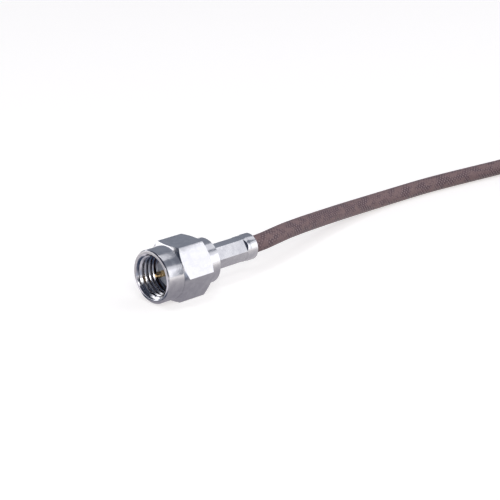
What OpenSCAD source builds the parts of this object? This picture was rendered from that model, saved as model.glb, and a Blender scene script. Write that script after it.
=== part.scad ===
// Straight coaxial cable plug with a threaded hexagon coupling nut, crimped on a thin coaxial
// lead. The plug's axis is X and its mouth faces -X. The origin is the centre of the mating
// reference plane, at the front of the outer contact. The nut rests on one of its flats.

/* [Coupling nut] */
// How far the nut's mouth stands ahead of the reference plane
nut_lead = 2.9; // [2.6:0.05:3.2]
// Diameter of the round ring at the mouth
ring_d = 7.7; // [7.4:0.05:7.9]
// Length of the round ring
ring_len = 2.75; // [2.3:0.05:3]
// Width of the hexagon across its flats
nut_af = 8; // [7.94:0.02:8.6]
// Length of the hexagon
hex_len = 5.1; // [4.9:0.05:5.4]
// Angle of the cone that takes the hexagon's corners off
chamfer_angle = 30; // [20:1:40]
// Diameter of the circle where that cone meets the hexagon's ends
chamfer_d = 7.8; // [7.7:0.02:7.9]
// Inner diameter of the thread, taken over its crests
thread_minor_d = 5.7; // [5.65:0.01:5.8]
// Diameter of the countersink at the mouth
mouth_d = 6.9; // [6.5:0.05:7.1]
// Depth of the threaded stretch behind the mouth
thread_len = 3.5; // [3:0.05:3.8]
// Diameter of the relief behind the thread
relief_d = 6.4; // [6.36:0.02:6.7]
// Length of the relief
relief_len = 2.1; // [1.9:0.05:2.3]
// Small chamfer on the ring's outer edge
edge_cut = 0.15; // [0.05:0.05:0.3]

/* [Fit of the nut on the body] */
// Diameter of the body's neck that the nut turns on
neck_d = 5.1; // [4.9:0.05:5.2]
// Radial running clearance between the nut and that neck
run_gap = 0.07; // [0.03:0.01:0.1]
// Axial clearance between the nut and the body's collar
end_gap = 0.1; // [0.06:0.02:0.3]
// Radial clearance of the body's flange inside the nut's lip
flange_gap = 0.15; // [0.1:0.01:0.25]
// Length of the nut's lip, which stops the retaining ring
lip_len = 0.5; // [0.4:0.02:0.55]
// Axial width of the retaining ring
ring_w = 0.48; // [0.35:0.01:0.55]
// Outer diameter of the retaining ring
retainer_d = 6.1; // [6:0.02:6.16]
// Width of the retaining ring's gap
retainer_gap = 0.9; // [0.5:0.1:1.5]
// Width of the groove for the ring in the body
groove_w = 0.65; // [0.6:0.01:0.75]
// Diameter at the bottom of that groove
groove_d = 4.6; // [4.5:0.02:4.8]

/* [Plug body] */
// Outer diameter of the outer contact
contact_d = 4.59; // [4.55:0.01:4.62]
// Bore of the outer contact
contact_bore = 4.13; // [4:0.01:4.2]
// Length of the outer contact ahead of the flange
contact_len = 2; // [1.9:0.05:2.1]
// Diameter of the outer contact's root, which carries the sealing ring
root_d = 5; // [4.9:0.02:5.1]
// Diameter of the flange behind the root
flange_d = 5.5; // [5.4:0.02:5.6]
// Length of the flange
flange_len = 1.3; // [1.2:0.05:1.4]
// Depth of the bore that holds the insulator
bore_depth = 4.6; // [4.2:0.05:5]
// Diameter of the collar behind the nut
collar_d = 6.6; // [6:0.05:7]
// Length of the collar
collar_len = 2.25; // [2:0.05:2.5]
// Chamfer on the collar's rear edge
collar_cut = 0.3; // [0.1:0.05:0.4]
// Outer diameter of the stem that the braid goes over
stem_d = 2.1; // [2:0.02:2.2]
// Length of the stem
stem_len = 5; // [4.5:0.1:5.4]
// How many grip grooves the stem has
stem_grooves = 6; // [3:1:8]
// Depth of each grip groove
stem_groove_depth = 0.1; // [0.05:0.01:0.14]
// Width of each grip groove
stem_groove_w = 0.4; // [0.2:0.05:0.5]
// Small chamfer on the rims of the body, the sealing ring and the ferrule
rim_cut = 0.12; // [0.06:0.01:0.15]

/* [Gasket and insulator] */
// Length of the sealing ring round the outer contact
gasket_len = 0.7; // [0.5:0.05:0.9]
// Radial thickness of the sealing ring
gasket_t = 0.45; // [0.3:0.02:0.55]
// Clearance between pieces that are pressed or slipped together
seat_gap = 0.01; // [0.005:0.005:0.02]

/* [Centre pin] */
// Diameter of the pin
pin_d = 0.92; // [0.9:0.01:0.94]
// How far the pin stands ahead of the reference plane
pin_lead = 2.1; // [1.9:0.05:2.3]
// Length of the pin's tapered tip
pin_tip_len = 0.45; // [0.3:0.05:0.6]
// Diameter of the flat at the tip's end
pin_tip_d = 0.4; // [0.3:0.02:0.5]
// Diameter of the pin's rear barrel
barrel_d = 1.28; // [1.2:0.02:1.4]
// Where the barrel starts behind the reference plane
barrel_start = 0.1; // [0.05:0.01:0.2]
// Depth of the solder cup in the barrel
cup_depth = 1.7; // [1.4:0.05:2]

/* [Crimp ferrule] */
// Outer diameter of the ferrule
ferrule_d = 3.96; // [3.86:0.02:4.06]
// Length of the ferrule
ferrule_len = 8.3; // [7.8:0.05:9]
// Wall of the ferrule
ferrule_wall = 0.35; // [0.3:0.01:0.4]
// Width of the crimped hexagon across its flats
crimp_af = 3.25; // [3.22:0.01:3.4]
// Where the crimp starts behind the ferrule's front end
crimp_start = 0.45; // [0.3:0.05:0.8]
// Length of the crimp
crimp_len = 5.85; // [5:0.05:6.1]
// Length of the slope at the crimp's front end
crimp_ramp = 0.35; // [0.2:0.05:0.6]
// Length of the steep step at the crimp's rear end
crimp_step = 0.12; // [0.06:0.02:0.3]
// Length of the flare behind that step
flare_len = 0.8; // [0.5:0.05:1.2]
// How much smaller in radius the ferrule is where the flare starts
flare_rise = 0.08; // [0.04:0.01:0.1]
// Length of the gentle slope ahead of the crimp's rear end
ease_len = 0.6; // [0.3:0.05:0.8]
// Height of that gentle slope
ease_rise = 0.06; // [0.03:0.01:0.1]
// Turn of the crimp against the nut's flats
crimp_turn = -3.5; // [-30:0.5:30]

/* [Cable] */
// Diameter of the cable's jacket
cable_d = 2.6; // [2.5:0.02:2.64]
// Diameter over the braid
braid_d = 2; // [1.9:0.01:2.05]
// Diameter of the dielectric
dielectric_d = 1.53; // [1.5:0.01:1.54]
// Diameter of the centre conductor
conductor_d = 0.51; // [0.48:0.01:0.54]
// Distance from the crimp's rear end to the cut end of the jacket
jacket_gap = 0.2; // [0.15:0.05:0.8]

/* [Bare end of the cable] */
// Length of braid left bare
bare_braid = 2; // [1:0.1:3]
// Length of dielectric left bare
bare_dielectric = 1.5; // [1:0.1:3]
// Length of conductor left bare
bare_conductor = 2; // [1:0.1:3]

/* [Resolution] */
// Facets round the turned pieces
turned_fn = 96; // [48:8:160]

/* [Hidden] */
$fn = turned_fn;
over = 1; // how far a cutting shape runs past what it cuts

// nut
nut_front = -nut_lead;
hex_front = nut_front + ring_len;
nut_rear = hex_front + hex_len;
thread_r = thread_minor_d / 2;
mouth_r = mouth_d / 2;
thread_end = nut_front + thread_len;
relief_end = thread_end + relief_len;
relief_r = relief_d / 2;

// body
contact_r = contact_d / 2;
bore_r = contact_bore / 2;
flange_rear = contact_len + flange_len;
root_r = root_d / 2;
flange_r = flange_d / 2;
lip_r = flange_r + flange_gap;
groove_rear = flange_rear + groove_w;
lip_rear = relief_end + lip_len;
neck_r = neck_d / 2;
rear_bore_r = neck_r + run_gap;
collar_front = nut_rear + end_gap;
collar_rear = collar_front + collar_len;
collar_r = collar_d / 2;
stem_r = stem_d / 2;
stem_rear = collar_rear + stem_len;
stem_bore_r = dielectric_d / 2 + 2 * seat_gap;

// ferrule and cable
ferrule_rear = collar_rear + ferrule_len;
ferrule_r = ferrule_d / 2;
crimp_r = crimp_af / 2;
crimp_front = collar_rear + crimp_start;
crimp_rear = crimp_front + crimp_len;
ease_front = crimp_rear - crimp_step - ease_len;
cable_r = cable_d / 2;
braid_r = braid_d / 2;
dielectric_r = dielectric_d / 2;
conductor_r = conductor_d / 2;
jacket_front = crimp_rear + jacket_gap;
barrel_r = barrel_d / 2;
cup_bottom = bore_depth - cup_depth;
table_z = -nut_af / 2;

// The cable's route from the ferrule's end to the coil, as distances from that end. The third
// number is the share of the drop to the table.
exit = [ferrule_rear, 0, 0];
drop = table_z + cable_r;
cable_route = [for (p = [
    [0, 0, 0], [0.8, 0, 0], [2, 0.06, 0], [3.4, 0.22, 0], [5, 0.53, 0.005],
    [7, 1, 0.03], [9, 1.5, 0.07], [11, 2, 0.13], [13, 2.52, 0.2], [15.5, 3.17, 0.3],
    [18, 3.8, 0.4], [22.5, 4.9, 0.58], [27.5, 5.95, 0.76], [32, 6.65, 0.89], [36.5, 7.05, 0.97],
    [41.5, 7.15, 1], [47.5, 6.95, 1], [53.5, 6.4, 1], [59.5, 5.7, 1], [65.5, 5, 1],
    [71.5, 4.5, 1], [76.5, 4.3, 1]
]) exit + [p.x, p.y, p.z * drop]];
// the coil starts at its +Y side and turns towards +X, winding inwards by one turn
coil_r = 16;
coil_pitch = 2.65;
coil_centre = exit + [76.5, 4.3 - coil_r, drop];
// the tail bends inside the coil and ends straight
tail_r = 10.5;
tail_sweep = 120;
tail_step = 20;
tail_straight = 2.4;
tail_centre = coil_centre + [0, coil_r - coil_pitch - tail_r, 0];
tail_end_angle = 90 - tail_sweep;
tail_heading = [sin(tail_end_angle), -cos(tail_end_angle), 0];
tail_arc = [for (a = [90:-tail_step:tail_end_angle]) tail_centre + tail_r * [cos(a), sin(a), 0]];
tail_stop = tail_arc[len(tail_arc) - 1] + tail_straight * tail_heading;
tail_route = concat(tail_arc, [tail_stop]);

// a piece turned about the X axis from its outline of [x, radius] points
module turned(outline) {
    rotate([0, 90, 0])
        rotate_extrude()
            polygon([for (p = outline) [p[1], p[0]]]);
}

// a tube turned about the X axis
module turned_tube(from, to, inner_r, outer_r) {
    turned([[from, inner_r], [from, outer_r], [to, outer_r], [to, inner_r]]);
}

// a solid tube of eight sides along a route
function along(route, i) =
    let (a = route[max(i - 1, 0)], b = route[min(i + 1, len(route) - 1)]) (b - a) / norm(b - a);
function ring_at(route, i, r) =
    let (t = along(route, i), s = cross(t, [0, 0, 1]), side = s / norm(s), up = cross(side, t))
    [for (k = [0:7]) route[i] + r * (cos(45 * k) * side + sin(45 * k) * up)];

module swept(route, r) {
    n = len(route);
    points = [for (i = [0:n - 1], p = ring_at(route, i, r)) p];
    sides = [for (i = [0:n - 2], k = [0:7])
        [8 * i + k, 8 * i + (k + 1) % 8, 8 * (i + 1) + (k + 1) % 8, 8 * (i + 1) + k]];
    start = [[for (k = [7:-1:0]) k]];
    end = [[for (k = [0:7]) 8 * (n - 1) + k]];
    polyhedron(points, concat(start, sides, end), convexity = 4);
}

// the nut's outside: the ring and the hexagon, whose corners a cone takes off at each end
module nut_blank() {
    corner_r = nut_af / sqrt(3);
    cone_len = (corner_r - chamfer_d / 2) * tan(chamfer_angle);
    turned([
        [nut_front, 0], [nut_front, ring_d / 2 - edge_cut], [nut_front + edge_cut, ring_d / 2],
        [hex_front + over, ring_d / 2], [hex_front + over, 0]
    ]);
    intersection() {
        translate([hex_front, 0, 0])
            rotate([0, 90, 0])
                rotate(30)
                    cylinder(h = hex_len, r = corner_r, $fn = 6);
        turned([
            [hex_front, 0], [hex_front, chamfer_d / 2], [hex_front + cone_len, corner_r],
            [nut_rear - cone_len, corner_r], [nut_rear, chamfer_d / 2], [nut_rear, 0]
        ]);
    }
}

module coupling_nut() {
    color("silver")
        difference() {
            nut_blank();
            turned([
                [nut_front - over, 0], [nut_front - over, mouth_r + over],
                [nut_front + mouth_r - thread_r, thread_r], [thread_end, thread_r],
                [thread_end, relief_r], [relief_end, relief_r], [relief_end, lip_r],
                [lip_rear, lip_r], [lip_rear, relief_r],
                [groove_rear, relief_r], [groove_rear, rear_bore_r],
                [nut_rear + over, rear_bore_r], [nut_rear + over, 0]
            ]);
        }
}

module retaining_ring() {
    color("goldenrod")
        difference() {
            turned_tube(flange_rear, flange_rear + ring_w, groove_d / 2 + seat_gap, retainer_d / 2);
            translate([flange_rear - over, -retainer_gap / 2, 0])
                cube([ring_w + 2 * over, retainer_gap, retainer_d]);
        }
}

module gasket() {
    inner = root_r + seat_gap;
    front = contact_len - gasket_len;
    color("orangered")
        turned([
            [front, inner], [front, inner + gasket_t - rim_cut],
            [front + rim_cut, inner + gasket_t], [contact_len, inner + gasket_t],
            [contact_len, inner]
        ]);
}

module plug_body() {
    root_front = contact_len - gasket_len;
    groove_step = stem_len / (stem_grooves + 1);
    groove_half = [stem_groove_w / 2, stem_groove_depth];
    grooves = [for (i = [1:stem_grooves], p = [[-1, 0], [0, -1], [1, 0]])
        [collar_rear + i * groove_step + p.x * groove_half.x, stem_r + p.y * groove_half.y]];
    color("silver")
        turned(concat(
            [
                [0, bore_r + rim_cut], [0, contact_r],
                [root_front, contact_r], [root_front, root_r], [contact_len, root_r],
                [contact_len, flange_r], [flange_rear, flange_r],
                [flange_rear, groove_d / 2], [groove_rear, groove_d / 2], [groove_rear, neck_r],
                [collar_front, neck_r], [collar_front, collar_r - rim_cut],
                [collar_front + rim_cut, collar_r], [collar_rear - collar_cut, collar_r],
                [collar_rear, collar_r - collar_cut], [collar_rear, stem_r]
            ],
            grooves,
            [
                [stem_rear, stem_r], [stem_rear, stem_bore_r],
                [bore_depth, stem_bore_r], [bore_depth, bore_r], [rim_cut, bore_r]
            ]
        ));
}

module front_insulator() {
    color("white")
        turned_tube(0, bore_depth, barrel_r + seat_gap, bore_r - seat_gap);
}

module centre_pin() {
    color("gold")
        turned([
            [-pin_lead, 0], [-pin_lead, pin_tip_d / 2], [pin_tip_len - pin_lead, pin_d / 2],
            [barrel_start, pin_d / 2], [barrel_start, barrel_r], [bore_depth, barrel_r],
            [bore_depth, conductor_r + seat_gap], [cup_bottom, conductor_r + seat_gap],
            [cup_bottom, 0]
        ]);
}

// one side of the crimping die, seen from its end, pressed in from the +Z side
module die_side() {
    rotate([90, 0, 0])
        linear_extrude(height = ferrule_d, center = true)
            polygon([
                [crimp_front, ferrule_r], [crimp_front + crimp_ramp, crimp_r], [ease_front, crimp_r],
                [crimp_rear - crimp_step, crimp_r + ease_rise], [crimp_rear, ferrule_r],
                [crimp_rear, ferrule_r + over], [crimp_front, ferrule_r + over]
            ]);
}

module crimp_ferrule() {
    inner_r = ferrule_r - ferrule_wall;
    pressed_r = crimp_r - ferrule_wall;
    color("silver")
        difference() {
            turned([
                [collar_rear, inner_r], [collar_rear, ferrule_r - rim_cut],
                [collar_rear + rim_cut, ferrule_r], [ease_front, ferrule_r],
                [crimp_rear, ferrule_r - flare_rise], [crimp_rear + flare_len, ferrule_r],
                [ferrule_rear - rim_cut, ferrule_r], [ferrule_rear, ferrule_r - rim_cut],
                [ferrule_rear, inner_r], [crimp_rear + ferrule_wall, inner_r],
                [crimp_rear, pressed_r], [crimp_front + crimp_ramp, pressed_r],
                [crimp_front, inner_r]
            ]);
            for (i = [0:5])
                rotate([60 * i + crimp_turn, 0, 0])
                    die_side();
        }
}

module cable_conductor() {
    color("silver")
        turned([
            [cup_bottom, 0], [cup_bottom, conductor_r], [ferrule_rear, conductor_r],
            [ferrule_rear, 0]
        ]);
}

module cable_dielectric() {
    color("white")
        turned_tube(bore_depth, ferrule_rear, conductor_r + seat_gap, dielectric_r);
}

module cable_braid() {
    over_stem = stem_r + seat_gap;
    thick = braid_r - dielectric_r;
    color("gainsboro")
        turned([
            [collar_rear, over_stem], [collar_rear, over_stem + thick - 3 * seat_gap],
            [stem_rear, over_stem + thick - 3 * seat_gap], [jacket_front, braid_r],
            [ferrule_rear, braid_r], [ferrule_rear, dielectric_r + seat_gap],
            [jacket_front, dielectric_r + seat_gap], [stem_rear, over_stem]
        ]);
}

module cable_jacket() {
    color("rosybrown")
        turned_tube(jacket_front, ferrule_rear, braid_r + seat_gap, cable_r);
}

module cable_run() {
    color("rosybrown")
        swept(cable_route, cable_r);
}

module cable_coil() {
    inner = coil_r - coil_pitch;
    color("rosybrown")
        translate(coil_centre)
            rotate_extrude() {
                translate([inner, -cable_r])
                    square([coil_pitch, cable_d]);
                for (r = [inner, coil_r])
                    translate([r, 0])
                        circle(r = cable_r, $fn = 32);
            }
}

module cable_tail() {
    color("rosybrown")
        swept(tail_route, cable_r);
}

// a layer of the stripped end, which starts and stops behind the cut end of the jacket
module tail_layer(from, to, inner_r, outer_r) {
    translate(tail_stop)
        rotate([0, 0, atan2(tail_heading.y, tail_heading.x)])
            turned_tube(from, to, inner_r, outer_r);
}

module tail_braid() {
    color("gainsboro")
        tail_layer(0, bare_braid, dielectric_r + seat_gap, braid_r);
}

module tail_dielectric() {
    color("white")
        tail_layer(0, bare_braid + bare_dielectric, conductor_r + seat_gap, dielectric_r);
}

module tail_conductor() {
    color("silver")
        tail_layer(0, bare_braid + bare_dielectric + bare_conductor, 0, conductor_r);
}

coupling_nut();
retaining_ring();
gasket();
plug_body();
front_insulator();
centre_pin();
crimp_ferrule();
cable_conductor();
cable_dielectric();
cable_braid();
cable_jacket();
cable_run();
cable_coil();
cable_tail();
tail_braid();
tail_dielectric();
tail_conductor();
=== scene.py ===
import math

import bpy
from mathutils import Matrix, Vector


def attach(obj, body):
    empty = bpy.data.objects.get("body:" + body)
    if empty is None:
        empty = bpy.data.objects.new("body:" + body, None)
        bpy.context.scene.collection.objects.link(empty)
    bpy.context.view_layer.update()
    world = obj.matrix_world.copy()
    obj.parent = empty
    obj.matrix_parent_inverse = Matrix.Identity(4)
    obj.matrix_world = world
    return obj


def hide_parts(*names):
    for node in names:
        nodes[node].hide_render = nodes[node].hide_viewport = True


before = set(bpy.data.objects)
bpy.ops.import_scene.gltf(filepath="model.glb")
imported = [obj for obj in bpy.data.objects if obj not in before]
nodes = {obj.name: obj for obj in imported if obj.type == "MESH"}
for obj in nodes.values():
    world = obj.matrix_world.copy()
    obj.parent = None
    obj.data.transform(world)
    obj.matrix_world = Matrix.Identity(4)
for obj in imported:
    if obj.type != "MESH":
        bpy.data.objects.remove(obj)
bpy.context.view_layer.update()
mm = 0.001
weld = 0.0005 * mm  # points closer than this become one

# the camera stands in front of the plug's mouth, to its left
cameraSettings = {
    "aim": (15.7, 0, -0.68),  # mm
    "distance": 220,
    "azimuth": -42.91,
    "elevation": 19.4,
    "roll": -0.76,
    "lens": 108.97,
    "sensor": 36,
    "clipStart": 10,  # mm
}


def placeCamera():
    s = cameraSettings
    turn = math.radians(s["azimuth"])
    tilt = math.radians(s["elevation"])
    roll = math.radians(s["roll"])
    forward = Vector((
        -math.sin(turn) * math.cos(tilt), math.cos(turn) * math.cos(tilt), -math.sin(tilt)))
    level = Vector((math.cos(turn), math.sin(turn), 0))
    upright = level.cross(forward)
    right = math.cos(roll) * level + math.sin(roll) * upright
    up = math.cos(roll) * upright - math.sin(roll) * level
    data = bpy.data.cameras.new("camera")
    data.lens = s["lens"]
    data.sensor_width = s["sensor"]
    data.clip_start = s["clipStart"] * mm
    camera = bpy.data.objects.new("camera", data)
    bpy.context.scene.collection.objects.link(camera)
    stand = Vector(s["aim"]) * mm - forward * s["distance"] * mm
    facing = Matrix((right, up, -forward)).transposed().to_4x4()
    camera.matrix_world = Matrix.Translation(stand) @ facing
    bpy.context.scene.camera = camera


placeCamera()
print("camera placed")


def deselectAll():
    if bpy.context.object and bpy.context.object.mode != "OBJECT":
        bpy.ops.object.mode_set(mode="OBJECT")
    bpy.ops.object.select_all(action="DESELECT")


def pickOnly(piece):
    deselectAll()
    piece.select_set(True)
    bpy.context.view_layer.objects.active = piece


def applyModifier(piece, kind, **settings):
    pickOnly(piece)
    modifier = piece.modifiers.new(kind.lower(), kind)
    for key, value in settings.items():
        setattr(modifier, key, value)
    bpy.ops.object.modifier_apply(modifier=modifier.name)


def roundEdges(piece, width, segments, sharperThan=50):
    applyModifier(piece, "BEVEL", width=width * mm, segments=segments, limit_method="ANGLE",
                  angle_limit=math.radians(sharperThan), affect="EDGES")


def cutWith(piece, tool, operation):
    applyModifier(piece, "BOOLEAN", operation=operation, object=tool, solver="EXACT")
    bpy.data.objects.remove(tool)


def smoothShade(piece, angle=28):
    pickOnly(piece)
    bpy.ops.object.shade_smooth_by_angle(angle=math.radians(angle))


# the cable, along the same route as its solids
leadSettings = {
    "diameter": 2.6,
    "exit": (15.6, 0, 0),
    "drop": -2.7,
    "route": [  # distances from the exit; the third number is the share of the drop
        (0, 0, 0), (0.8, 0, 0), (2, 0.06, 0), (3.4, 0.22, 0), (5, 0.53, 0.005),
        (7, 1, 0.03), (9, 1.5, 0.07), (11, 2, 0.13), (13, 2.52, 0.2), (15.5, 3.17, 0.3),
        (18, 3.8, 0.4), (22.5, 4.9, 0.58), (27.5, 5.95, 0.76), (32, 6.65, 0.89),
        (36.5, 7.05, 0.97), (41.5, 7.15, 1), (47.5, 6.95, 1), (53.5, 6.4, 1), (59.5, 5.7, 1),
        (65.5, 5, 1), (71.5, 4.5, 1), (76.5, 4.3, 1),
    ],
    "coilRadius": 16,
    "coilPitch": 2.65,
    "coilStep": 15,
    "tailRadius": 10.5,
    "tailSweep": 120,
    "tailStep": 20,
    "tailStraight": 2.4,
    "length": 194.2,  # as measureLead prints it
    "bevelSteps": 5,
    "smoothness": 5,
    "crease": 40,
}


def compass(turned):
    # the level direction that lies so many degrees clockwise of +Y
    angle = math.radians(90 - turned)
    return Vector((math.cos(angle), math.sin(angle), 0))


def leadPoints():
    s = leadSettings
    start = Vector(s["exit"])
    points = [start + Vector((x, y, share * s["drop"])) for x, y, share in s["route"]]
    coilCentre = points[-1] - Vector((0, s["coilRadius"], 0))
    for turned in range(s["coilStep"], 361, s["coilStep"]):
        radius = s["coilRadius"] - s["coilPitch"] * turned / 360
        points.append(coilCentre + radius * compass(turned))
    tailCentre = points[-1] - Vector((0, s["tailRadius"], 0))
    for turned in range(s["tailStep"], s["tailSweep"] + 1, s["tailStep"]):
        points.append(tailCentre + s["tailRadius"] * compass(turned))
    points.append(points[-1] + s["tailStraight"] * compass(s["tailSweep"] + 90))
    return [point * mm for point in points]


def measureLead(lead):
    # keeps each ring's distance along the cable, in mm, for the weave
    ring = 2 * leadSettings["bevelSteps"] + 4  # points round the cable
    spots = [vertex.co for vertex in lead.data.vertices]
    middles = [sum(spots[i:i + ring], Vector()) / ring for i in range(0, len(spots), ring)]
    reach = [0.0]
    for here, there in zip(middles[1:], middles[2:]):
        reach.append(reach[-1] + (there - here).length / mm)
    reach.insert(0, reach[-1])  # the far end's cap comes first
    along = lead.data.attributes.new("along", "FLOAT", "POINT")
    along.data.foreach_set("value", [reach[i // ring] for i in range(len(spots))])
    print("cable", round(reach[-1], 1), "mm long")


def makeLead():
    s = leadSettings
    points = leadPoints()
    deselectAll()
    bpy.ops.curve.primitive_bezier_curve_add(location=(0, 0, 0))
    lead = bpy.context.object
    curve = lead.data
    curve.splines.clear()
    spline = curve.splines.new("BEZIER")
    spline.bezier_points.add(len(points) - 1)
    for knot, point in zip(spline.bezier_points, points):
        knot.co = point
        knot.handle_left_type = "AUTO"
        knot.handle_right_type = "AUTO"
    curve.resolution_u = s["smoothness"]
    curve.bevel_depth = s["diameter"] / 2 * mm
    curve.bevel_resolution = s["bevelSteps"]
    curve.use_fill_caps = True
    pickOnly(lead)
    bpy.ops.object.convert(target="MESH")
    lead = bpy.context.object
    lead.name = "cableLead"
    measureLead(lead)
    smoothShade(lead, s["crease"])
    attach(lead, "plug")
    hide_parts("cable_run", "cable_coil", "cable_tail")
    return lead, points


lead, leadRoute = makeLead()
print("cable made")


def drawOutline(name, outline):
    # a closed outline of [(x, radius), ...] in mm above the X axis, left open for editing
    deselectAll()
    bpy.ops.mesh.primitive_plane_add(size=mm, location=(0, 0, 0))
    piece = bpy.context.object
    piece.name = name
    bpy.ops.object.mode_set(mode="EDIT")
    bpy.ops.mesh.select_all(action="SELECT")
    bpy.ops.mesh.merge(type="CENTER")
    spots = [Vector((x, 0, radius)) * mm for x, radius in outline]
    bpy.ops.transform.translate(value=spots[0])
    for here, there in zip(spots, spots[1:] + spots[:1]):
        bpy.ops.mesh.extrude_vertices_move(TRANSFORM_OT_translate={"value": there - here})
    bpy.ops.mesh.select_all(action="SELECT")
    bpy.ops.mesh.remove_doubles(threshold=weld)
    bpy.ops.mesh.select_all(action="SELECT")
    return piece


# the coupling nut: stations along X and radii in mm
nutSettings = {
    "front": -2.9,
    "ringRadius": 3.85,
    "ringCut": 0.15,
    "hexFront": -0.15,
    "hexRear": 4.95,
    "acrossFlats": 8,
    "cornerRound": 0.12,
    "cornerSegments": 3,
    "coneRadius": 3.9,
    "coneAngle": 30,
    "coneReach": 0.3,  # how far the turned blank stands outside the corners
    "barMiddle": 1,
    "barLength": 12,
    "mouthRadius": 3.32,
    "relief": 3.2,
    "reliefEnd": 2.7,
    "lip": 2.9,
    "lipEnd": 3.2,
    "grooveEnd": 3.95,
    "rearBore": 2.62,
    "edge": 0.02,
    "steps": 144,
}

# its thread, right-handed, with 36 turns to the inch
threadSettings = {
    "pitch": 25.4 / 36,
    "crestRadius": 2.85,
    "rootRadius": 3.18,
    "crestFlat": 0.17,
    "rootFlat": 0.08,
    "end": 0.6,
    "overlap": 0.12,  # how far the tap reaches inside the crests
    "turnsAhead": 1.2,
    "runOut": 0.2,
    "steps": 72,
}


def turnBlank():
    s, thread = nutSettings, threadSettings
    corner = s["acrossFlats"] / math.sqrt(3)
    slope = math.tan(math.radians(s["coneAngle"]))
    outside = corner + s["coneReach"]
    coneRun = (outside - s["coneRadius"]) * slope
    blank = drawOutline("couplingNut", [
        (s["front"], s["mouthRadius"]),
        (s["front"], s["ringRadius"] - s["ringCut"]),
        (s["front"] + s["ringCut"], s["ringRadius"]),
        (s["hexFront"], s["ringRadius"]),
        (s["hexFront"], s["coneRadius"]),
        (s["hexFront"] + coneRun, outside),
        (s["hexRear"] - coneRun, outside),
        (s["hexRear"], s["coneRadius"]),
        (s["hexRear"], s["rearBore"]),
        (s["grooveEnd"], s["rearBore"]),
        (s["grooveEnd"], s["relief"]),
        (s["lipEnd"], s["relief"]),
        (s["lipEnd"], s["lip"]),
        (s["reliefEnd"], s["lip"]),
        (s["reliefEnd"], s["relief"]),
        (thread["end"], s["relief"]),
        (thread["end"], thread["crestRadius"]),
        (s["front"] + s["mouthRadius"] - thread["crestRadius"], thread["crestRadius"]),
    ])
    bpy.ops.mesh.bevel(offset=s["edge"] * mm, segments=2, affect="VERTICES")
    bpy.ops.mesh.select_all(action="SELECT")
    bpy.ops.mesh.spin(
        steps=s["steps"], angle=2 * math.pi, center=(0, 0, 0), axis=(1, 0, 0))
    bpy.ops.mesh.select_all(action="SELECT")
    bpy.ops.mesh.remove_doubles(threshold=weld)
    bpy.ops.mesh.normals_make_consistent(inside=False)
    bpy.ops.object.mode_set(mode="OBJECT")
    return blank


def makeBar():
    # the hexagonal bar that the nut's blank is cut from
    s = nutSettings
    deselectAll()
    bpy.ops.mesh.primitive_cylinder_add(
        vertices=6, radius=s["acrossFlats"] / math.sqrt(3) * mm, depth=s["barLength"] * mm,
        location=(s["barMiddle"] * mm, 0, 0), rotation=(0, math.pi / 2, 0))
    bar = bpy.context.object
    pickOnly(bar)
    bpy.ops.object.transform_apply(location=True, rotation=True, scale=True)
    roundEdges(bar, s["cornerRound"], s["cornerSegments"])
    return bar


def makeTap():
    # the space between the thread's ridges, as one coil that starts ahead of the mouth
    s = threadSettings
    inner = s["crestRadius"] - s["overlap"]
    wide = (s["pitch"] - s["crestFlat"]) / 2
    narrow = s["rootFlat"] / 2
    start = nutSettings["front"] - s["turnsAhead"] * s["pitch"]
    tap = drawOutline("tap", [
        (start - wide, inner),
        (start - wide, s["crestRadius"]),
        (start - narrow, s["rootRadius"]),
        (start + narrow, s["rootRadius"]),
        (start + wide, s["crestRadius"]),
        (start + wide, inner),
    ])
    bpy.ops.object.mode_set(mode="OBJECT")
    turns = math.ceil((s["end"] + s["runOut"] - start) / s["pitch"])
    applyModifier(tap, "SCREW", axis="X", screw_offset=s["pitch"] * mm, iterations=turns,
                  steps=s["steps"], render_steps=s["steps"], use_normal_calculate=True)
    bpy.ops.object.mode_set(mode="EDIT")
    bpy.ops.mesh.select_all(action="SELECT")
    bpy.ops.mesh.remove_doubles(threshold=weld)
    bpy.ops.mesh.fill_holes(sides=0)
    bpy.ops.mesh.select_all(action="SELECT")
    bpy.ops.mesh.normals_make_consistent(inside=False)
    bpy.ops.object.mode_set(mode="OBJECT")
    return tap


def makeNut():
    nut = turnBlank()
    cutWith(nut, makeBar(), "INTERSECT")
    cutWith(nut, makeTap(), "DIFFERENCE")
    smoothShade(nut)
    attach(nut, "nut")
    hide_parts("coupling_nut")
    return nut


nut = makeNut()
print("nut made", len(nut.data.polygons))


def copyNode(node, name):
    # a finished copy of a plain CAD piece, which keeps its shape
    pickOnly(nodes[node])
    bpy.ops.object.duplicate()
    piece = bpy.context.object
    piece.name = name
    for key in [key for key in piece.keys() if key.startswith("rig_")]:
        del piece[key]
    piece.parent = None
    bpy.ops.object.mode_set(mode="EDIT")
    bpy.ops.mesh.select_all(action="SELECT")
    bpy.ops.mesh.remove_doubles(threshold=2 * weld)
    bpy.ops.object.mode_set(mode="OBJECT")
    bpy.ops.mesh.customdata_custom_splitnormals_clear()
    smoothShade(piece)
    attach(piece, "plug")
    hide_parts(node)
    return piece


# the crimp's rear end: stations along X in mm
crimpSettings = {
    "stepFront": 13.48,
    "stepRear": 13.6,
    "flareRear": 14.4,
    "pressedTo": 13.93,  # the step's upper edge, drawn back by the die
    "skin": 1.85,  # what lies outside this radius moves
    "margin": 0.005,
    "edge": 0.07,
    "edgeSegments": 2,
}


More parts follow.
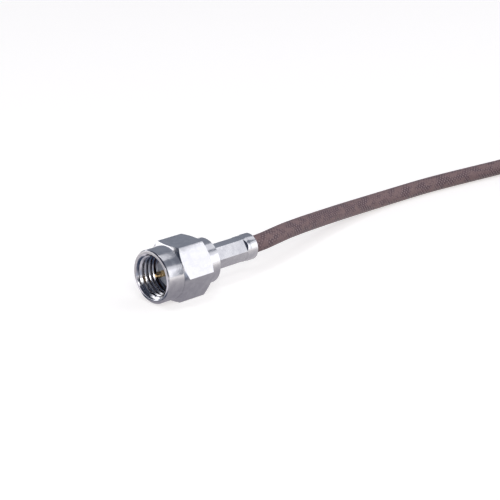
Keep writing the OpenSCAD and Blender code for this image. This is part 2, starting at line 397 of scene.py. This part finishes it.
def stretchRings(piece, low, high, centre, factor, radius):
    # scales the outer points between two stations along X
    pickOnly(piece)
    bpy.ops.object.mode_set(mode="EDIT")
    bpy.ops.mesh.select_all(action="DESELECT")
    bpy.ops.object.mode_set(mode="OBJECT")
    for vertex in piece.data.vertices:
        x, y, z = (value / mm for value in vertex.co)
        vertex.select = low < x < high and math.hypot(y, z) > radius
    bpy.ops.object.mode_set(mode="EDIT")
    bpy.ops.transform.resize(value=(factor, 1, 1), center_override=(centre * mm, 0, 0))
    bpy.ops.object.mode_set(mode="OBJECT")


def pressFerrule(ferrule):
    s = crimpSettings
    near = s["margin"]
    flare = (s["flareRear"] - s["pressedTo"]) / (s["flareRear"] - s["stepRear"])
    step = (s["pressedTo"] - s["stepFront"]) / (s["stepRear"] - s["stepFront"])
    stretchRings(ferrule, s["stepRear"] + near, s["flareRear"] - near, s["flareRear"], flare,
                 s["skin"])
    stretchRings(ferrule, s["stepFront"] + near, s["stepRear"] + near, s["stepFront"], step,
                 s["skin"])
    roundEdges(ferrule, s["edge"], s["edgeSegments"])
    smoothShade(ferrule)


body = copyNode("plug_body", "plugBody")
ferrule = copyNode("crimp_ferrule", "crimpFerrule")
pressFerrule(ferrule)
print("body and ferrule made")


class Link:
    # one output of a node, with ordinary arithmetic
    def __init__(self, tree, socket):
        self.tree = tree
        self.socket = socket

    def maths(self, operation, *values):
        return self.tree.node("ShaderNodeMath", values or (self,), operation=operation)

    def __add__(self, other):
        return self.maths("ADD", self, other)

    def __radd__(self, other):
        return self.maths("ADD", other, self)

    def __sub__(self, other):
        return self.maths("SUBTRACT", self, other)

    def __rsub__(self, other):
        return self.maths("SUBTRACT", other, self)

    def __mul__(self, other):
        return self.maths("MULTIPLY", self, other)

    def __rmul__(self, other):
        return self.maths("MULTIPLY", other, self)

    def between(self, low, high, start=0.0, end=1.0, smooth=True):
        return self.tree.node(
            "ShaderNodeMapRange", {"Value": self, "From Min": low, "From Max": high,
                                   "To Min": start, "To Max": end},
            interpolation_type="SMOOTHSTEP" if smooth else "LINEAR")

    def vector(self, operation, *others, output=0):
        return self.tree.node("ShaderNodeVectorMath", (self, *others), output=output,
                              operation=operation)


class Tree:
    # makes nodes: their settings come first, then values and links go on their sockets
    def __init__(self, owner):
        owner.use_nodes = True
        self.tree = owner.node_tree

    def node(self, kind, inputs=None, output=0, **settings):
        made = self.tree.nodes.new(kind)
        for key, value in settings.items():
            setattr(made, key, value)
        pairs = inputs.items() if isinstance(inputs, dict) else enumerate(inputs or ())
        for key, value in pairs:
            self.join(value, made.inputs[key])
        return Link(self, made.outputs[output]) if made.outputs else None

    def join(self, value, socket):
        if isinstance(value, Link):
            self.tree.links.new(value.socket, socket)
        else:
            socket.default_value = value

    def blend(self, share, first, second):
        return self.node("ShaderNodeMix", {0: share, 6: first, 7: second}, output=2,
                         data_type="RGBA")


class Finish(Tree):
    # one material: constants go straight on the shader, and links feed what varies
    def __init__(self, name, **constants):
        self.material = bpy.data.materials.new(name)
        super().__init__(self.material)
        self.shader = self.tree.nodes["Principled BSDF"]
        self.feed(**constants)

    def feed(self, **values):
        for words, value in values.items():
            self.join(value, self.shader.inputs[words.replace("_", " ")])

    def space(self):
        return self.node("ShaderNodeTexCoord", output="Object")

    def stretched(self, space, scale):
        return self.node("ShaderNodeMapping", {"Vector": space, "Scale": scale})

    def noise(self, space, scale=1.0, detail=3.0, roughness=0.6):
        return self.node("ShaderNodeTexNoise", {
            "Vector": space, "Scale": scale, "Detail": detail, "Roughness": roughness})

    def bump(self, height, strength, distance):
        self.feed(Normal=self.node("ShaderNodeBump", {
            "Strength": strength, "Distance": distance, "Height": height}))


def shade(red, green, blue):
    return (red, green, blue, 1.0)


# bright plate over turned brass; the marks are a stretch for each axis and a share
nickelSettings = {
    "dull": (0.58, 0.57, 0.6),
    "bright": (0.66, 0.65, 0.67),
    "roughness": (0.13, 0.21),
    "mottle": 900,
    "rings": ((7000, 200, 200), 0.5),
    "lines": ((400, 6000, 6000), 0.15),
    "dapple": ((3500, 2200, 2200), 0.5),
    "markDepth": 0.01,  # mm
    "smoothShare": 0.12,
    "smoothFade": 0.05,  # mm
}


def makeNickel(name, smoothRadius=0.0):
    s = nickelSettings
    metal = Finish(name, Metallic=1.0)
    space = metal.space()
    rings = metal.noise(metal.stretched(space, s["rings"][0]), roughness=0.7)
    lines = metal.noise(metal.stretched(space, s["lines"][0]))
    dapple = metal.noise(metal.stretched(space, s["dapple"][0]))
    mottle = metal.noise(space, s["mottle"], 4.0)
    metal.feed(
        Base_Color=metal.blend(
            mottle.between(0.35, 0.65), shade(*s["dull"]), shade(*s["bright"])),
        Roughness=mottle.between(0.3, 0.7, *s["roughness"]))
    marks = rings * s["rings"][1] + lines * s["lines"][1] + dapple * s["dapple"][1]
    if smoothRadius:  # the inside is smoother than what hands and tools reach
        radius = space.vector("MULTIPLY", (0, 1, 1)).vector("LENGTH", output="Value")
        marks = marks * radius.between((smoothRadius - s["smoothFade"]) * mm,
                                       smoothRadius * mm, s["smoothShare"], 1.0)
    metal.bump(marks, 1.0, s["markDepth"] * mm)
    return metal.material


# a thin, half clear jacket over a braid, whose weave shows through it
jacketSettings = {
    "strand": (0.33, 0.235, 0.245),
    "gap": (0.12, 0.08, 0.088),
    "clouded": (0.26, 0.175, 0.175),
    "gloss": 0.12,
    "roughness": (0.4, 0.55),
    "strands": 12,
    "row": 0.62,  # mm
    "roundAxis": 1,  # the part of the UV map that goes round the cable
    "stretch": (500, 1100, 1100),
    "streakScale": 2.6,
    "streakShare": 0.6,
    "weaveDepth": 0.03,  # mm
}


def ripple(value):
    # rises and falls once in each unit
    part = value.maths("FRACT")
    return part.between(0.0, 0.5) * part.between(1.0, 0.5)


def makeJacket():
    s = jacketSettings
    skin = Finish("jacket", Specular_IOR_Level=s["gloss"])
    flat = skin.node("ShaderNodeTexCoord", output="UV")
    turned = skin.node("ShaderNodeSeparateXYZ", {"Vector": flat}, output=s["roundAxis"])
    along = skin.node("ShaderNodeAttribute", output="Fac", attribute_name="along")
    across = turned * s["strands"]
    down = along * (1 / s["row"])
    weave = ripple(across + down) * ripple(across - down)
    space = skin.stretched(skin.space(), s["stretch"])
    cloud = skin.noise(space, detail=4.0)
    streak = skin.noise(space, s["streakScale"])
    base = skin.blend(weave.between(0.0, 0.7), shade(*s["gap"]), shade(*s["strand"]))
    tinted = skin.blend(cloud.between(0.4, 0.6), base, shade(*s["clouded"]))
    dark = streak.between(0.5, 0.75) * s["streakShare"]
    skin.feed(Base_Color=skin.blend(dark, tinted, shade(*s["gap"])),
              Roughness=cloud.between(0.3, 0.7, *s["roughness"]))
    skin.bump(weave, 0.6, s["weaveDepth"] * mm)
    return skin.material


plainFinishes = {  # color, roughness, metallic
    "goldPlate": ((0.76, 0.54, 0.26), 0.14, 1.0),
    # the teflon is greyed and blued below its own white: painted shade for the recess inside
    # the plug's mouth
    "shadedTeflon": ((0.66, 0.69, 0.76), 0.45, 0.0),
    "silicone": ((0.6, 0.12, 0.06), 0.5, 0.0),
    "springBrass": ((0.8, 0.6, 0.32), 0.3, 1.0),
}


def makePlain(name):
    color, rough, metallic = plainFinishes[name]
    return Finish(
        name, Base_Color=shade(*color), Roughness=rough, Metallic=metallic).material


def dress(material, *pieces):
    for piece in pieces:
        piece.data.materials.clear()
        piece.data.materials.append(material)


def dressNodes(material, *names):
    dress(material, *(nodes[name] for name in names))


nickel = makeNickel("nickel")
jacket = makeJacket()
dress(makeNickel("nutNickel", smoothRadius=3.72), nut)
dress(nickel, body, ferrule)
dress(jacket, lead)
dressNodes(makePlain("goldPlate"), "centre_pin")
dressNodes(makePlain("shadedTeflon"), "front_insulator", "tail_dielectric", "cable_dielectric")
dressNodes(nickel, "tail_braid", "tail_conductor", "cable_braid", "cable_conductor")
dressNodes(makePlain("silicone"), "gasket")
dressNodes(makePlain("springBrass"), "retaining_ring")
dressNodes(jacket, "cable_jacket")
print("materials made")

# the studio: panels that the metal mirrors, a room that is darker on the camera's side, a floor
# whose reflection in the metal is painted
studio = {
    "middle": (6, 0, 0),  # mm
    "lamps": {  # direction from the middle, distance and sides in mm, brightness
        "sidePanel": ((0.642, -0.729, 0.237), 600, (500, 330), 0.6),
        "softPanel": ((0.642, -0.683, 0.348), 610, (520, 440), 0.8),
        "overPanel": ((0.642, -0.09, 0.76), 600, (280, 420), 0.8),
        "backPanel": ((-0.56, 0.8, 0.25), 600, (600, 260), 1.7),
        "frontPanel": ((-0.935, -0.25, 0.2), 600, (90, 150), 6.0),
        "topLamp": ((-0.05, 0.05, 1.0), 700, (220, 220), 5.0),
        "keyLamp": ((-0.4, -0.65, 0.65), 600, (300, 300), 4.5),
    },
    "unmirrored": "keyLamp",  # lights the cable and the floor, and the metal doesn't show it
    "room": (0.29, 0.315, 0.37),
    "darkSide": (-0.8, -0.2, 0.57),
    "darkRoom": (0.05, 0.06, 0.09),
    "darkFade": (0.15, 0.75),  # the direction's share towards the dark side
    "floorColor": (0.6, 0.6, 0.6),
    "floorLift": (0.62, 0.6, 0.59),
    "floorHeight": -4,
    "floorSide": 20,  # m
    # the floor as the metal mirrors it: painted shadow near the middle, brightening to a
    # painted glow far away
    "paintedShadowNear": (0.38, 0.37, 0.41),
    "paintedGlowFar": (1.25, 1.22, 1.2),
    "mirroredFade": (0.004, 0.05),  # m from the origin
    "paintedPatches": [  # painted light and shade on the mirrored floor: middle and half sides in mm, turn, color
        # a dim blue and a bright painted reflection, then two dark sheets of painted shade
        ((-32, -8), (20, 12), 20, (0.4, 0.46, 0.58)),
        ((-8.5, 5), (8, 4.5), 25, (0.98, 0.95, 1.02)),
        ((-48.5, -42.4), (63, 5), 45.8, (0.06, 0.08, 0.14)),
        ((-7.6, -0.3), (7.5, 1.9), 45.8, (0.05, 0.07, 0.12)),
    ],
    "patchFade": (0.7, 1.05),  # share of a patch's half sides
}


def makeLamp(name, direction, distance, sides, brightness):
    data = bpy.data.lights.new(name, "AREA")
    data.shape = "RECTANGLE"
    data.size = sides[0] * mm
    data.size_y = sides[1] * mm
    data.energy = brightness * math.pi * data.size * data.size_y
    lamp = bpy.data.objects.new(name, data)
    bpy.context.scene.collection.objects.link(lamp)
    aim = Vector(direction).normalized()
    lamp.location = Vector(studio["middle"]) * mm + aim * distance * mm
    lamp.rotation_euler = aim.to_track_quat("Z", "Y").to_euler()
    lamp.visible_glossy = name != studio["unmirrored"]


def makeRoom():
    world = bpy.data.worlds.new("room")
    bpy.context.scene.world = world
    room = Tree(world)
    room.tree.nodes.clear()
    way = room.node("ShaderNodeTexCoord", output="Generated")
    towards = way.vector("DOT_PRODUCT", Vector(studio["darkSide"]).normalized(), output="Value")
    tint = room.blend(towards.between(*studio["darkFade"]), shade(*studio["room"]),
                      shade(*studio["darkRoom"]))
    around = room.node("ShaderNodeBackground", {"Color": tint})
    seen = room.node("ShaderNodeBackground", {"Color": shade(1, 1, 1)})
    direct = room.node("ShaderNodeLightPath", output="Is Camera Ray")
    mixed = room.node("ShaderNodeMixShader", (direct, around, seen))
    room.node("ShaderNodeOutputWorld", {"Surface": mixed})


def makeFloor():
    deselectAll()
    bpy.ops.mesh.primitive_plane_add(
        size=studio["floorSide"], location=(0, 0, studio["floorHeight"] * mm))
    floor = bpy.context.object
    floor.name = "floor"
    paper = Finish("paper", Roughness=0.9, Emission_Strength=1.0)
    space = paper.space()
    # painted reflection: the floor glows for glossy rays only, darker near the middle as
    # painted shadow
    away = space.vector("LENGTH", output="Value")
    paintedReflection = paper.blend(away.between(*studio["mirroredFade"], smooth=False),
                       shade(*studio["paintedShadowNear"]), shade(*studio["paintedGlowFar"]))
    # each patch paints light or shade into the floor's reflection
    for (x, y), (long, wide), turn, color in studio["paintedPatches"]:
        inside = paper.node("ShaderNodeMapping", {
            "Vector": space, "Location": (x * mm, y * mm, 0),
            "Rotation": (0, 0, math.radians(turn)), "Scale": (long * mm, wide * mm, 1),
        }, vector_type="TEXTURE")
        edge = inside.vector("LENGTH", output="Value")
        paintedReflection = paper.blend(1 - edge.between(*studio["patchFade"]), paintedReflection, shade(*color))
    glossy = paper.node("ShaderNodeLightPath", output="Is Glossy Ray")
    direct = paper.node("ShaderNodeLightPath", output="Is Camera Ray")
    lift = paper.blend(direct, shade(0, 0, 0), shade(*studio["floorLift"]))
    paper.feed(Base_Color=paper.blend(glossy, shade(*studio["floorColor"]), shade(0, 0, 0)),
               Emission_Color=paper.blend(glossy, lift, paintedReflection))
    dress(paper.material, floor)


for name, facts in studio["lamps"].items():
    makeLamp(name, *facts)
makeRoom()
makeFloor()
bpy.context.scene.view_settings.view_transform = "Standard"
print("studio made")
